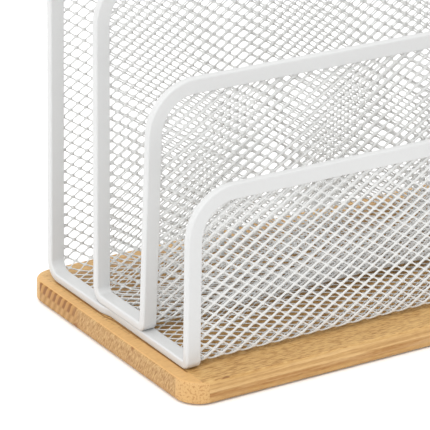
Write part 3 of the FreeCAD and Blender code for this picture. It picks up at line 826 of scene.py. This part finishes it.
def painted_tray_shade(shader, x, y, height, colour):
    """On the upper face, painted shade under the tray and a painted contact shadow where its rails
    rest.
    """
    def inward(value, edge, side, distances):
        """Sets in over two distances in from an edge, which lies on the side given."""
        near, far = distances
        return shader.clamped(value, edge - side * near, edge - side * far)

    across = shader.math("ABSOLUTE", x)
    upper = shader.math("GREATER_THAN", height, 0.8)
    # Painted shade: the wood under the tray is coloured darker, where the tray's shadow falls.
    painted_shade_under_tray = shader.product(inward(across, TRAY_HALF_WIDTH, 1, SHADE_SIDES),
                             inward(y, outer_low.y, -1, SHADE_FRONT),
                             inward(y, outer_high.y, 1, SHADE_BACK), upper)
    colour = shader.mix(shader.product(painted_shade_under_tray, 0.25), colour, rgb(132, 90, 34))

    # Painted contact shadow: a dark line on the wood where the rails rest, standing in for the shade
    # of the gap under them.
    drift = shader.math("MULTIPLY_ADD", shader.clamped(y, LINE_STEP_BACK, LINE_STEP_FRONT),
                        LINE_IN_AHEAD + LINE_OUT_BEHIND, -LINE_OUT_BEHIND)
    beside = shader.math("SUBTRACT", across, TRAY_HALF_WIDTH)
    away = shader.math("ABSOLUTE", shader.math("ADD", beside, drift))
    painted_contact_shadow = shader.product(shader.clamped(away, LINE_REACH, LINE_CORE),
                            inward(y, outer_low.y, -1, LINE_FRONT),
                            inward(y, outer_high.y, 1, LINE_BACK), upper)
    return shader.mix(shader.product(painted_contact_shadow, 0.85), colour, rgb(134, 88, 38))


def bamboo():
    """Pressed bamboo: long fibres above and in front, cut ends of the strips at the sides."""
    shader = Shader("bamboo", Specular_IOR_Level=0.35, Coat_Weight=0.1, Coat_Roughness=0.4)
    x, y, z = shader.split("Object")
    side_on, front_on, level = (shader.math("ABSOLUTE", n) for n in shader.split("Normal"))
    height = shader.math("DIVIDE", shader.math("SUBTRACT", z, board_low.z),
                         board_high.z - board_low.z)

    fibre = shader.noise((300, 1500, 1500), detail=3.0, roughness=0.6)
    streak = shader.noise((16, 420, 420), detail=4.0, roughness=0.65, distortion=0.4)
    grain = shader.ramp(fibre, (0.34, rgb(141, 99, 46)), (0.46, rgb(189, 148, 89)),
                        (0.62, rgb(216, 180, 120)))
    wave = shader.math("MULTIPLY_ADD", shader.noise((20, 20, 20)), 0.3, -0.15)
    laid = shader.math("ADD", height, wave)
    frayed = shader.math("ADD", laid, shader.math("MULTIPLY_ADD", streak, 0.5, -0.25))
    pores = shader.noise((1300, 1300, 1300), detail=2.0)
    corner = shader.ramp(pores, (0.34, rgb(176, 130, 78)), (0.50, rgb(200, 160, 104)))

    turned = shader.math("DIVIDE", side_on, shader.math("ADD", side_on, front_on))
    colour = shader.mix(shader.math("GREATER_THAN", turned, 0.10),
                        board_front(shader, streak, frayed, grain), corner)
    colour = shader.mix(shader.math("GREATER_THAN", turned, 0.985), colour,
                        board_ends(shader, x, y, z, laid, frayed))
    colour = shader.mix(shader.clamped(level, 0.70, 0.80), colour,
                        board_top(shader, x, y, grain))
    # Painted shade under the tray, and a painted contact shadow along its rails.
    colour = painted_tray_shade(shader, x, y, height, colour)
    return shader.use(Base_Color=colour, Normal=shader.bump(fibre, 0.02 * MM),
                      Roughness=shader.math("MULTIPLY_ADD", fibre, 0.2, 0.45))


def zinc():
    """Bright zinc on pressed steel."""
    shader = Shader("zinc_steel", Metallic=1.0)
    cloud = shader.noise((900, 900, 900), detail=3.0)
    relief = shader.bump(shader.noise((5200, 5200, 900)), 0.006 * MM)
    return shader.use(Base_Color=shader.ramp(cloud, (0.3, (0.50, 0.51, 0.53)),
                                             (0.7, (0.66, 0.67, 0.69))),
                      Roughness=shader.math("MULTIPLY_ADD", cloud, 0.16, 0.26), Normal=relief)


def soft_pad():
    """Clear rubber pad, slightly milky."""
    shader = Shader("clear_pad", IOR=1.45, Transmission_Weight=0.55)
    cloud = shader.noise((700, 700, 700), detail=2.0)
    relief = shader.bump(shader.noise((2400, 2400, 2400)), 0.008 * MM)
    return shader.use(Base_Color=shader.ramp(cloud, (0.3, (0.74, 0.75, 0.75)),
                                             (0.7, (0.82, 0.83, 0.83))),
                      Roughness=shader.math("MULTIPLY_ADD", cloud, 0.15, 0.3), Normal=relief)


def studio_white():
    """Plain pale floor."""
    shader = Shader("studio_white", Roughness=0.9, Specular_IOR_Level=0.1)
    shader.surface.inputs["Base Color"].default_value = (0.97, 0.97, 0.97, 1.0)
    return shader.material


# ------------------------------------------------------------------ the object

white_coat = powder_coat("white_powder_coat", STRIP_WHITE)
# Painted light: the mesh's copy of the powder coat is lighter, to lift its strands in shade.
white_mesh = powder_coat("white_mesh", LIFTED_MESH_WHITE)
outer_tray, inner_tray = tray_profiles()

make_strip("outer_strip", outer_tray, outer_tray.foot_run + SEAM_SETBACK, white_coat)
make_strip("inner_strip", inner_tray, None, white_coat)
make_mesh("outer_expanded", outer_tray,
          wall_weave(outer_tray, OUTER_FRONT_WEAVE, OUTER_REAR_WEAVE), white_mesh)
make_mesh("inner_expanded", inner_tray,
          wall_weave(inner_tray, INNER_FRONT_WEAVE, INNER_REAR_WEAVE), white_mesh)
make_board(bamboo())
for node, made in (("base_screws", zinc()), ("foot_pads", soft_pad())):
    dress(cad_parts[node], made)


# ------------------------------------------------------------------ floor, light and camera

FLOOR_HALF_WIDTH = 8.0
FLOOR_FRONT = -6.0
FLOOR_BACK = 3.0
FLOOR_BEND_RADIUS = 1.5
FLOOR_TOP = 6.0
WORLD_STRENGTH = 0.74

# In millimetres, as Blender has them.
FOCAL_LENGTH = 232.74
SENSOR_WIDTH = 36.0


def make_floor():
    """A large sheet of pale board that curves up far behind the object."""
    stations = [(FLOOR_FRONT, 0.0), (FLOOR_BACK, 0.0)]
    steps = 12
    for step in range(1, steps + 1):
        angle = math.pi / 2 * step / steps
        stations.append((FLOOR_BACK + FLOOR_BEND_RADIUS * math.sin(angle),
                         FLOOR_BEND_RADIUS * (1 - math.cos(angle))))
    stations.append((FLOOR_BACK + FLOOR_BEND_RADIUS, FLOOR_TOP))
    points = [(x, y, z) for y, z in stations for x in (-FLOOR_HALF_WIDTH, FLOOR_HALF_WIDTH)]
    faces = [(a, a + 1, a + 3, a + 2) for a in range(0, len(points) - 2, 2)]
    floor = new_piece("floor", points, faces)
    dress(floor, studio_white())


def make_light(name, place, strength, softness):
    """Far, wide and even light that shines from a place towards the origin."""
    data = bpy.data.lights.new(name, "SUN")
    data.energy = strength
    data.angle = math.radians(softness)
    lamp = add_object(name, data)
    lamp.location = place
    lamp.rotation_mode = "QUATERNION"
    lamp.rotation_quaternion = (-Vector(place)).to_track_quat("-Z", "Y")


def make_world():
    """Even white surroundings."""
    world = bpy.data.worlds.new("studio")
    world.use_nodes = True
    background = world.node_tree.nodes["Background"]
    background.inputs["Color"].default_value = (1.0, 1.0, 1.0, 1.0)
    background.inputs["Strength"].default_value = WORLD_STRENGTH
    bpy.context.scene.world = world


def make_camera():
    """Long lens, from the front left and above."""
    right = Vector((0.84427, -0.53562, 0.01804)).normalized()
    ahead = Vector((0.50237, 0.77923, -0.37473)).normalized()
    up = right.cross(ahead)
    data = bpy.data.cameras.new("camera")
    data.sensor_width = SENSOR_WIDTH
    data.lens = FOCAL_LENGTH
    data.clip_start, data.clip_end = 0.05, 50.0
    camera = add_object("camera", data)
    place = Vector((-0.61502, -0.83728, 0.44877))
    turn = Matrix((right, up, -ahead)).transposed().to_4x4()
    camera.matrix_world = Matrix.Translation(place) @ turn
    bpy.context.scene.camera = camera


make_floor()
make_light("key", place=(-1.3, -1.05, 1.15), strength=1.2, softness=40.0)
make_light("overhead", place=(0.0, 0.0, 2.0), strength=1.4, softness=70.0)
make_world()
make_camera()

bpy.context.scene.view_settings.view_transform = "Standard"
bpy.context.scene.view_settings.look = "None"
